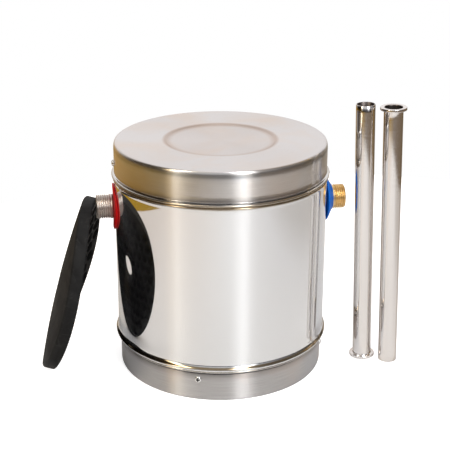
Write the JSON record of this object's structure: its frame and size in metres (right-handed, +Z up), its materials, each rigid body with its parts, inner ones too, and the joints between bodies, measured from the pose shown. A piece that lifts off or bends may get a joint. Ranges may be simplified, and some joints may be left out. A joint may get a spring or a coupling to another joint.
{
  "type": "magnetic system filter",
  "caption": "Insulated stainless filter canister with hot and cold threaded ports, a lift-off cover that carries the magnet rod, a rubber disc and loose flanged tubes.",
  "frame": {"origin": "centre of the canister's flat underside", "axes": "+Z up along the canister's axis, +X out of the cold port, -X out of the hot port, -Y towards the front"},
  "size_m": [0.3115, 0.1844, 0.2304],
  "materials": {
    "mirror_jacket": "mirror-polished stainless steel",
    "brushed_cover": "brushed stainless steel, turned marks around",
    "base_brushed": "brushed stainless steel",
    "screw_steel": "zinc-bright cross-recess screws",
    "vessel_steel": "plain stainless steel",
    "foam": "insulating foam",
    "boss_steel": "machined stainless steel",
    "thread_steel": "turned stainless steel thread",
    "thread_brass": "turned brass thread",
    "red_plastic": "glossy red plastic",
    "blue_plastic": "glossy blue plastic",
    "seal_rubber": "black sealing rubber",
    "magnet_ferrite": "sintered magnet",
    "pole_steel": "mild steel",
    "disc_rubber": "matt black rubber",
    "tube_polished": "polished stainless steel"
  },
  "bodies": {
    "canister": {"jacket": "mirror_jacket", "base_cover": "base_brushed", "base_cover_screws": "screw_steel", "vessel_shell": "vessel_steel", "vessel_floor": "vessel_steel", "vessel_roof": "vessel_steel", "insulation_sleeve": "foam", "insulation_floor": "foam", "insulation_roof": "foam", "magnet_pocket": "vessel_steel", "filter_screen": "boss_steel", "screen_cap_upper": "boss_steel", "screen_cap_lower": "boss_steel", "inlet_tube": "vessel_steel", "hot_boss": "boss_steel", "cold_boss": "boss_steel", "hot_seal": "seal_rubber", "cold_seal": "seal_rubber", "hot_nipple": "thread_steel", "cold_nipple": "thread_brass", "hot_washer": "red_plastic", "cold_collar": "blue_plastic", "drain_boss": "boss_steel", "drain_seal": "seal_rubber", "drain_plug": "thread_brass"},
    "lid": {"top_cover": "brushed_cover", "top_cover_screws": "screw_steel", "cover_seal": "seal_rubber", "magnet_carrier": "pole_steel", "magnet_core": "boss_steel", "magnet_spacer": "boss_steel", "magnet_rings": "magnet_ferrite", "pole_rings": "pole_steel", "magnet_end_nut": "screw_steel"},
    "disc": {"rubber_disc": "disc_rubber"},
    "tube_a": {"flanged_tube_a": "tube_polished"},
    "tube_b": {"flanged_tube_b": "tube_polished"}
  },
  "joints": [
    {"name": "lid_lift", "type": "slide", "parent": "canister", "child": "lid", "axis": [0, 0, 1], "range_m": [0, 0.16]},
    {"name": "disc_lift", "type": "slide", "parent": "canister", "child": "disc", "axis": [0, 0, 1], "range_m": [0, 0.18]},
    {"name": "tube_a_lift", "type": "slide", "parent": "canister", "child": "tube_a", "axis": [0, 0, 1], "range_m": [0, 0.1]},
    {"name": "tube_b_lift", "type": "slide", "parent": "canister", "child": "tube_b", "axis": [0, 0, 1], "range_m": [0, 0.1]}
  ]
}
